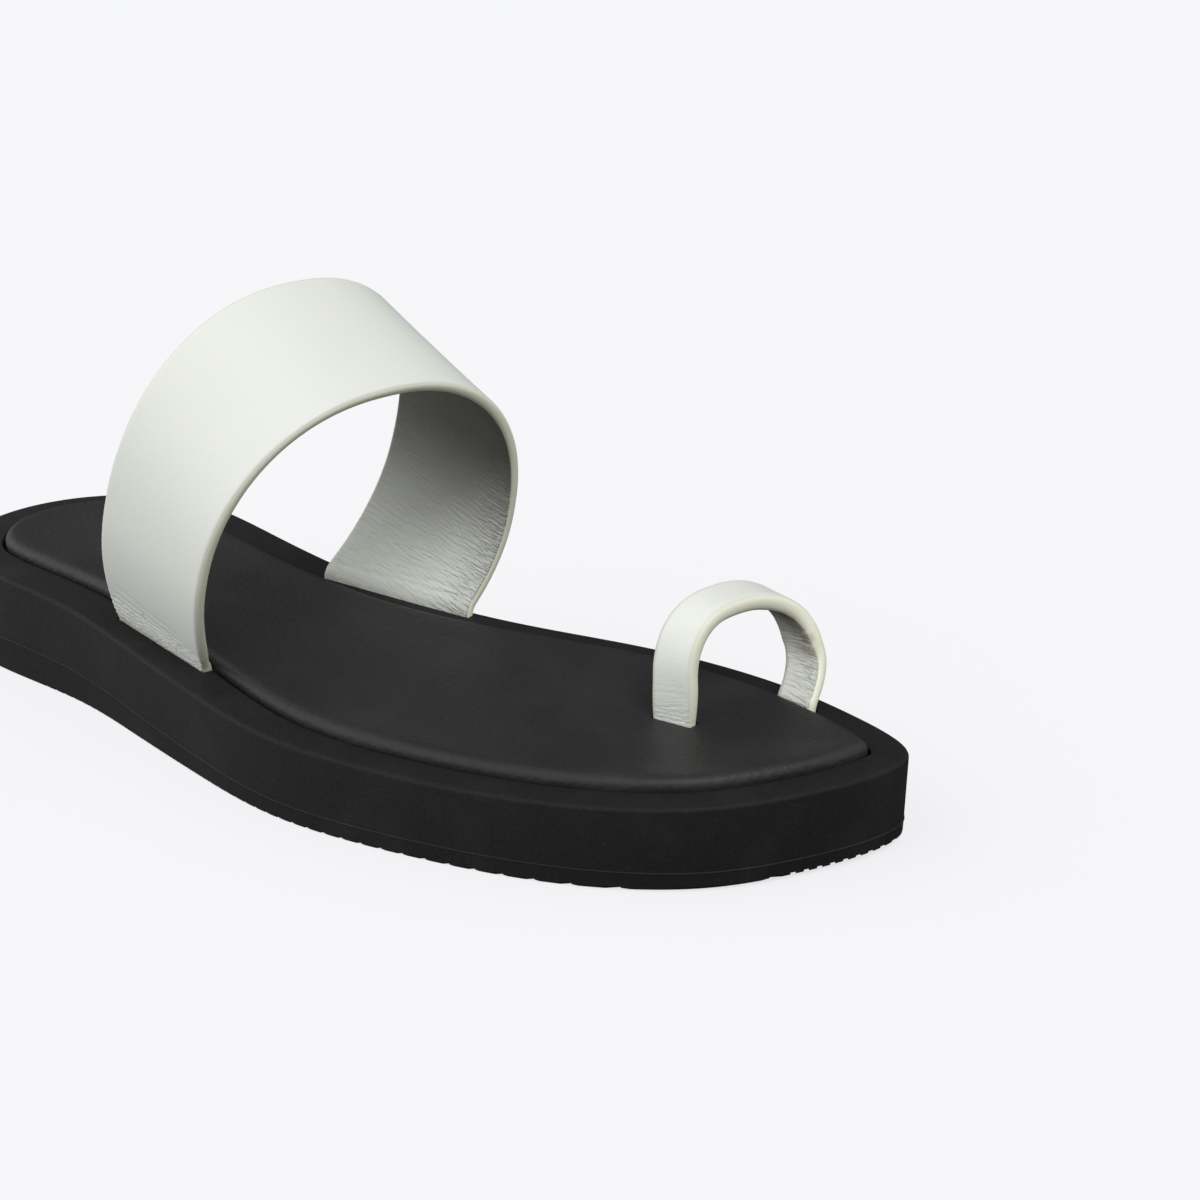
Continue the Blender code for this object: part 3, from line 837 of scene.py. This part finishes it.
class Finish(Graph):
    """A Principled material built from expressions."""

    def __init__(self, name, **constants):
        self.material = bpy.data.materials.new(name)
        self.material.use_nodes = True
        super().__init__(self.material.node_tree, "Principled BSDF")
        for socket, value in constants.items():
            self.shader.inputs[socket.replace("_", " ")].default_value = value

    def attribute(self, name):
        """A number kept on the mesh's points."""
        return self.node("ShaderNodeAttribute", {"attribute_name": name}, {}, "Fac")

    def place(self):
        """Object coordinates in metres."""
        return self.node("ShaderNodeTexCoord", {}, {}, "Object")

    def vector(self, x, y):
        """A vector from two wires."""
        return self.node("ShaderNodeCombineXYZ", {}, {"X": x, "Y": y})

    def noise(self, vector, scale, detail=3.0, roughness=0.55):
        """Noise from 0 to 1."""
        return self.node("ShaderNodeTexNoise", {}, {"Vector": vector, "Scale": scale, "Detail": detail,
                                                    "Roughness": roughness})

    def cells(self, vector, scale, feature="F1"):
        """Distance in a cell pattern."""
        return self.node("ShaderNodeTexVoronoi", {"feature": feature}, {"Vector": vector, "Scale": scale},
                         "Distance")

    def mix(self, share, first, second):
        """A colour between two colours."""
        first, second = [c if isinstance(c, Wire) else (*c, 1.0) for c in (first, second)]
        return self.node("ShaderNodeMix", {"data_type": "RGBA"}, {0: share, 6: first, 7: second}, 2)

    def bump(self, height, distance):
        """Surface relief from a height."""
        self.link("Normal", self.node("ShaderNodeBump", {}, {"Height": height, "Distance": distance}))


def sole_finish(name, colour, roughness, grain):
    """Matte black foam or rubber with a fine grain and faint pale wear."""
    finish = Finish(name, Specular_IOR_Level=0.16)
    place = finish.place()
    fine = finish.noise(place, FOAM_GRAIN, roughness=0.7)
    broad = finish.noise(place, FOAM_WEAR, detail=4.0)
    wear = broad.step(0.45, 0.75)
    pale = [value * 2.4 + 0.005 for value in colour]
    finish.link("Base Color", finish.mix(wear * 0.3 + fine.step(0.52, 0.78) * 0.55, colour, pale))
    finish.link("Roughness", roughness + broad * 0.12)
    finish.bump(fine + finish.noise(place, FOAM_PITS, detail=2.0) * 0.6, grain)
    return finish.material


def footbed_finish(colour):
    """Black leather with a pebbled grain and a few dull scuffs."""
    finish = Finish("footbed_leather_black", Specular_IOR_Level=0.38)
    place = finish.place()
    pebbles = finish.cells(place, FOOTBED_PEBBLES, "SMOOTH_F1")
    fine = finish.noise(place, FOOTBED_GRAIN, roughness=0.7)
    broad = finish.noise(place, FOOTBED_SCUFFS, detail=4.0)
    pale = [value * 1.6 + 0.004 for value in colour]
    dull = broad.step(0.42, 0.78) * 0.5 + fine.step(0.50, 0.78) * 0.45
    finish.link("Base Color", finish.mix(dull, colour, pale))
    finish.link("Roughness", 0.46 + broad * 0.16)
    finish.bump(0.8 - pebbles + fine * 0.35, 0.00012)
    return finish.material


def leather_finish(name, colours, wrinkle_reach, slant, foot_folds, shade_span, stains):
    """Smooth pale leather with a painted edge, a creased lining and rubbed stains.

    The lining is creased most within wrinkle_reach of its front edge, on lines that slant
    across the strap, and is painted darker over shade_span, from the feet at 0 to the crown
    at 1: painted shade, where the arch keeps the light off its own inside. The outer side is
    creased by foot_folds at its outer foot.
    """
    finish = Finish(name, Specular_IOR_Level=0.42)
    along, across, depth, crown = (finish.attribute(key) for key in ("along", "across", "depth", "crown"))
    place = finish.place()
    lining = depth.step(*LINING_START)
    paint = depth.step(*PAINT_START) * (1 - lining)
    seam = depth.spot(0.06, 0.06) * 0.2 + depth.spot(0.94, 0.06) * 0.4
    broad = finish.noise(place, LEATHER_SHADE)
    face = finish.mix(broad.step(0.35, 0.75) * 0.25, colours.face, [value * 0.93 for value in colours.face])
    # Painted shade: the lining is coloured darker towards the crown over the given span, in place of the
    # shade inside the arch
    crown_shade = finish.mix(crown.step(*shade_span) * 0.96, colours.lining, colours.lining_crown_shade)
    colour = finish.mix(lining, face, crown_shade)
    colour = finish.mix(paint, colour, colours.edge)
    colour = finish.mix(seam, colour, colours.seam)
    blotch = finish.noise(place, STAIN_BLOTCHES)
    for centre, offset, long_reach, cross_reach, share, inside in stains:
        side = depth.step(0.5, 0.9) if inside else 1 - depth.step(0.1, 0.5)
        spot = along.spot(centre, long_reach) * across.spot(offset, cross_reach) * side
        colour = finish.mix(spot * blotch.step(0.35, 0.6) * share, colour, colours.stain)
    finish.link("Base Color", colour)
    finish.link("Roughness", 0.46 + lining * 0.14 - paint * 0.10 + broad * 0.06)
    grain = finish.noise(place, LEATHER_GRAIN, detail=2.0) * 0.5 + finish.cells(place, LEATHER_PORES) * 0.35
    slanted = finish.vector((along + across * slant) * FOLDS_ALONG, across * FOLDS_ACROSS)
    folds = finish.node("ShaderNodeTexNoise", {"noise_dimensions": "2D"},
                        {"Vector": slanted, "Scale": 1.0, "Detail": 3.0, "Roughness": 0.55,
                         "Distortion": 0.4})
    near_edge = 1.45 - across.step(0.0, wrinkle_reach)
    near_foot = 1 - (along - across * 0.25).step(0.001, 0.012)
    wrinkled = lining * near_edge + near_foot * foot_folds * (1 - lining) * (1 - paint)
    height = grain * (0.35 + lining * 0.4) * (1 - paint * 0.7) + folds.step(0.32, 0.64) * wrinkled * 1.6
    finish.bump(height, 0.00016)
    return finish.material


def floor_finish(colour, glow):
    """Pale floor that gives part of its light itself, so its shadows stay faint."""
    rest = [value * (1 - glow) for value in colour]
    finish = Finish("studio_floor", Base_Color=(*rest, 1.0), Roughness=1.0, Specular_IOR_Level=0.0,
                    Emission_Color=(*colour, 1.0), Emission_Strength=glow)
    return finish.material


# Operators

def settings(context):
    """The sandal's settings."""
    return context.scene.sandal


def place_piece(item, node):
    """Tie a piece to the frame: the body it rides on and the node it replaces."""
    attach(item, BODY)
    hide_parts(node)


def tread_cutter(shape):
    """V-shaped grooves between the outsole's ribs, from the toe to the end of the tread."""
    sole = shape.sizes
    slant = math.radians(RIB_SLANT)
    pitch = sole.tread_pitch / math.cos(slant)
    half = sole.ball_width * RIB_REACH
    mesh = bmesh.new()
    share = np.linspace(-1, 1, 2 * RIB_SEGMENTS + 1)
    first, last = -half, sole.length * sole.tread_reach
    for start in np.arange(first, last, pitch):
        rows = []
        for x in share * half:
            near = start + abs(x) * math.tan(slant)
            row = []
            for y in (near, near + pitch * GROOVE_SHARE):
                level = float(shape.floor_line(y / sole.length))
                row += [(x, y - shape.centre[1], level + rise) for rise in (-CUTTER_BELOW, sole.tread_depth)]
            rows.append([mesh.verts.new(point) for point in row])
        for a, b in zip(rows, rows[1:]):
            for i, j in ((0, 1), (1, 3), (3, 2), (2, 0)):
                mesh.faces.new((a[i], a[j], b[j], b[i]))
        for end in (rows[0], rows[-1]):
            mesh.faces.new((end[0], end[1], end[3], end[2]))
    return new_object("tread_grooves", mesh, None)


class SANDAL_OT_outsole(Operator):
    """Build the ribbed rubber outsole"""

    bl_idname = "sandal.outsole"
    bl_label = "Outsole"

    def execute(self, context):
        sole = settings(context).sole
        shape = SoleShape(sole)
        rings = [(constant(sole.side_draft + sole.foot_chamfer), shape.floor_line),
                 (constant(sole.side_draft), lambda s: shape.floor_line(s) + sole.foot_chamfer)]
        for proud, drop in ((0, 3), (1, 2), (1, 1), (0, 0)):
            rings.append((lambda s, out=proud * sole.lip: shape.draft(s, shape.outsole_top(s)) - out,
                          lambda s, down=drop * sole.lip: shape.outsole_top(s) - down))
        rubber = sole_finish("outsole_rubber_black", sole.rubber_colour, roughness=0.62, grain=0.00010)
        flash = sole_finish("outsole_flash", sole.flash_colour, roughness=0.55, grain=0.00003)
        item = loft_sole("outsole_rubber", shape, rings, rubber, flash)
        cut(item, [tread_cutter(shape)])
        place_piece(item, "outsole")
        return {"FINISHED"}


class SANDAL_OT_midsole(Operator):
    """Build the foam midsole with its rounded rim, recess and slots"""

    bl_idname = "sandal.midsole"
    bl_label = "Midsole"

    def execute(self, context):
        everything = settings(context)
        sole = everything.sole
        shape = SoleShape(sole)
        rings = [
            (lambda s: shape.draft(s, shape.outsole_top(s)), lambda s: shape.outsole_top(s) + sole.lip / 4),
            (constant(0.0), lambda s: shape.rim_height(s) - sole.rim_rounding),
        ]
        for turn in np.linspace(0, math.pi / 2, ROUND_STEPS + 1)[1:]:
            inward = sole.rim_rounding * (1 - math.cos(turn))
            down = sole.rim_rounding * (1 - math.sin(turn))
            rings.append((constant(inward), lambda s, drop=down: shape.rim_height(s) - drop))
        soft = sole.clearance
        rings += [
            (lambda s: shape.rim_width(s) - soft, shape.rim_height),
            (shape.rim_width, lambda s: shape.rim_height(s) - soft),
            (lambda s: shape.rim_width(s) + soft, lambda s: shape.rim_height(s) - sole.recess_depth),
        ]
        foam = sole_finish("midsole_foam_black", sole.foam_colour, roughness=0.56, grain=0.00012)
        item = loft_sole("midsole_foam", shape, rings, foam)
        gap = sole.clearance / 2
        cut(item, [slot_cutter("instep_slot", shape, INSTEP_EDGES, INSTEP_TRIM, everything.instep, gap),
                   slot_cutter("loop_slot", shape, LOOP_EDGES, LOOP_TRIM, everything.loop, gap)])
        place_piece(item, "midsole")
        return {"FINISHED"}


class SANDAL_OT_footbed(Operator):
    """Build the leather-covered footbed with its rolled edge"""

    bl_idname = "sandal.footbed"
    bl_label = "Footbed"

    def execute(self, context):
        everything = settings(context)
        sole = everything.sole
        shape = SoleShape(sole)

        def edge(along):
            return shape.rim_width(along) + sole.groove

        def base(along):
            return shape.rim_height(along) - sole.recess_depth + sole.clearance

        def top(along):
            return shape.rim_height(along) + sole.footbed_proud

        rings = [(lambda s: edge(s) + sole.foot_chamfer, base), (edge, lambda s: base(s) + sole.foot_chamfer)]
        for turn in np.linspace(0, math.pi / 2, ROLL_STEPS + 1):
            inward = sole.footbed_roll * (1 - math.cos(turn))
            drop = sole.footbed_roll * (1 - math.sin(turn))
            rings.append((lambda s, w=inward: edge(s) + w, lambda s, h=drop: top(s) - h))
        for reach, share in DISH_STEPS:
            rings.append((lambda s, w=sole.footbed_roll * reach: edge(s) + w,
                          lambda s, h=sole.footbed_dish * share: top(s) - h))
        item = loft_sole("footbed_leather", shape, rings, footbed_finish(sole.footbed_colour))
        gap = sole.clearance / 2
        cut(item, [slot_cutter("loop_slot", shape, LOOP_EDGES, LOOP_TRIM, everything.loop, gap)])
        place_piece(item, "footbed")
        return {"FINISHED"}


class SANDAL_OT_instep_strap(Operator):
    """Build the wide leather strap over the instep"""

    bl_idname = "sandal.instep_strap"
    bl_label = "Instep strap"

    def execute(self, context):
        everything = settings(context)
        finish = leather_finish("instep_leather_ivory", everything.leather, wrinkle_reach=0.012, slant=0.25,
                                foot_folds=0.35, shade_span=(0.02, 0.47), stains=INSTEP_STAINS)
        item = build_strap("instep_strap_leather", SoleShape(everything.sole), INSTEP_EDGES, INSTEP_TRIM,
                           everything.instep, INSTEP_CREASES, finish)
        place_piece(item, "instep_strap")
        return {"FINISHED"}


class SANDAL_OT_toe_loop(Operator):
    """Build the narrow leather loop for the big toe"""

    bl_idname = "sandal.toe_loop"
    bl_label = "Toe loop"

    def execute(self, context):
        everything = settings(context)
        finish = leather_finish("loop_leather_ivory", everything.leather, wrinkle_reach=0.008, slant=0.12,
                                foot_folds=0.15, shade_span=(0.18, 0.82), stains=LOOP_STAINS)
        item = build_strap("toe_loop_leather", SoleShape(everything.sole), LOOP_EDGES, LOOP_TRIM,
                           everything.loop, LOOP_CREASES, finish)
        place_piece(item, "toe_loop")
        return {"FINISHED"}


class SANDAL_OT_studio(Operator):
    """Set up the floor, the soft light and the camera"""

    bl_idname = "sandal.studio"
    bl_label = "Studio"

    def execute(self, context):
        studio = settings(context).studio
        scene = context.scene
        mesh = bmesh.new()
        bmesh.ops.create_grid(mesh, x_segments=1, y_segments=1, size=studio.floor_size / 2)
        floor = new_object("studio_floor", mesh, floor_finish(studio.floor_colour, studio.floor_glow))
        floor.visible_diffuse = False
        floor.visible_glossy = False
        world = bpy.data.worlds.new("studio")
        world.use_nodes = True
        sky = Graph(world.node_tree, "Background")
        sky.shader.inputs["Color"].default_value = (1.0, 1.0, 1.0, 1.0)
        ray = sky.node("ShaderNodeTexCoord", {}, {}, "Generated")
        x, y, z = (sky.node("ShaderNodeSeparateXYZ", {}, {0: ray}, axis) for axis in "XYZ")
        lit_side = (x * LIT_SIDE[0] + y * LIT_SIDE[1]).step(0.0, 0.95)
        lit_front = (x * LIT_FRONT[0] + y * LIT_FRONT[1]).step(0.1, 1.0)
        near_floor = studio.sky_low * (lit_side * SIDE_BOUNCE + lit_front + EVEN_BOUNCE)
        level = z.step(-0.2, 0.15)
        around = studio.sky_side * lit_side + studio.sky_front * lit_front + EVEN_SKY
        sky.link("Strength", near_floor * (1 - level) + around * level + studio.sky_high * z.step(0.15, 0.95))
        scene.world = world
        lamp = bpy.data.lights.new("key", "SUN")
        lamp.energy = studio.key_strength
        lamp.angle = studio.key_angle
        key = bpy.data.objects.new("key", lamp)
        scene.collection.objects.link(key)
        key.location = studio.key_place
        key.rotation_euler = key.location.to_track_quat("Z", "Y").to_euler()
        scene.camera = self.camera(scene, studio)
        scene.view_settings.view_transform = "Standard"
        return {"FINISHED"}

    @staticmethod
    def camera(scene, studio):
        """The camera at the photo's angle to the shoe."""
        turn, rise, roll = studio.camera_azimuth, studio.camera_elevation, studio.camera_roll
        back = Vector((math.sin(turn) * math.cos(rise), -math.cos(turn) * math.cos(rise), math.sin(rise)))
        right = Vector((math.cos(turn), math.sin(turn), 0.0))
        up = back.cross(right)
        across = right * math.cos(roll) + up * math.sin(roll)
        upward = up * math.cos(roll) - right * math.sin(roll)
        axes = Matrix((across, upward, back)).transposed()
        data = bpy.data.cameras.new("camera")
        data.lens = studio.camera_lens
        data.shift_x, data.shift_y = studio.camera_shift
        data.clip_start = 0.01
        item = bpy.data.objects.new("camera", data)
        scene.collection.objects.link(item)
        item.matrix_world = Matrix.Translation(studio.camera_place) @ axes.to_4x4()
        return item


class SANDAL_PT_panel(Panel):
    """Lists the sandal's settings and operators"""

    bl_idname = "SANDAL_PT_panel"
    bl_label = "Sandal"
    bl_space_type = "VIEW_3D"
    bl_region_type = "UI"
    bl_category = "Sandal"

    def draw(self, context):
        layout = self.layout
        for operator in OPERATORS:
            layout.operator(operator.bl_idname)
        everything = settings(context)
        for part in ("sole", "instep", "loop", "leather", "studio"):
            group = getattr(everything, part)
            box = layout.box()
            for name in group.bl_rna.properties.keys():
                if name not in ("rna_type", "name"):
                    box.prop(group, name)


GROUPS = (SoleSettings, InstepSettings, LoopSettings, LeatherSettings, StudioSettings, SandalSettings)
OPERATORS = (SANDAL_OT_outsole, SANDAL_OT_midsole, SANDAL_OT_footbed, SANDAL_OT_instep_strap,
             SANDAL_OT_toe_loop, SANDAL_OT_studio)


def register():
    """Register the classes and hang the settings on the scene."""
    for item in (*GROUPS, *OPERATORS, SANDAL_PT_panel):
        bpy.utils.register_class(item)
    bpy.types.Scene.sandal = PointerProperty(type=SandalSettings)


def unregister():
    """Take the settings and the classes away again."""
    del bpy.types.Scene.sandal
    for item in reversed((*GROUPS, *OPERATORS, SANDAL_PT_panel)):
        bpy.utils.unregister_class(item)


def main():
    """Build every piece and the studio."""
    register()
    bpy.ops.sandal.outsole()
    bpy.ops.sandal.midsole()
    bpy.ops.sandal.footbed()
    bpy.ops.sandal.instep_strap()
    bpy.ops.sandal.toe_loop()
    bpy.ops.sandal.studio()


if __name__ == "__main__":
    main()
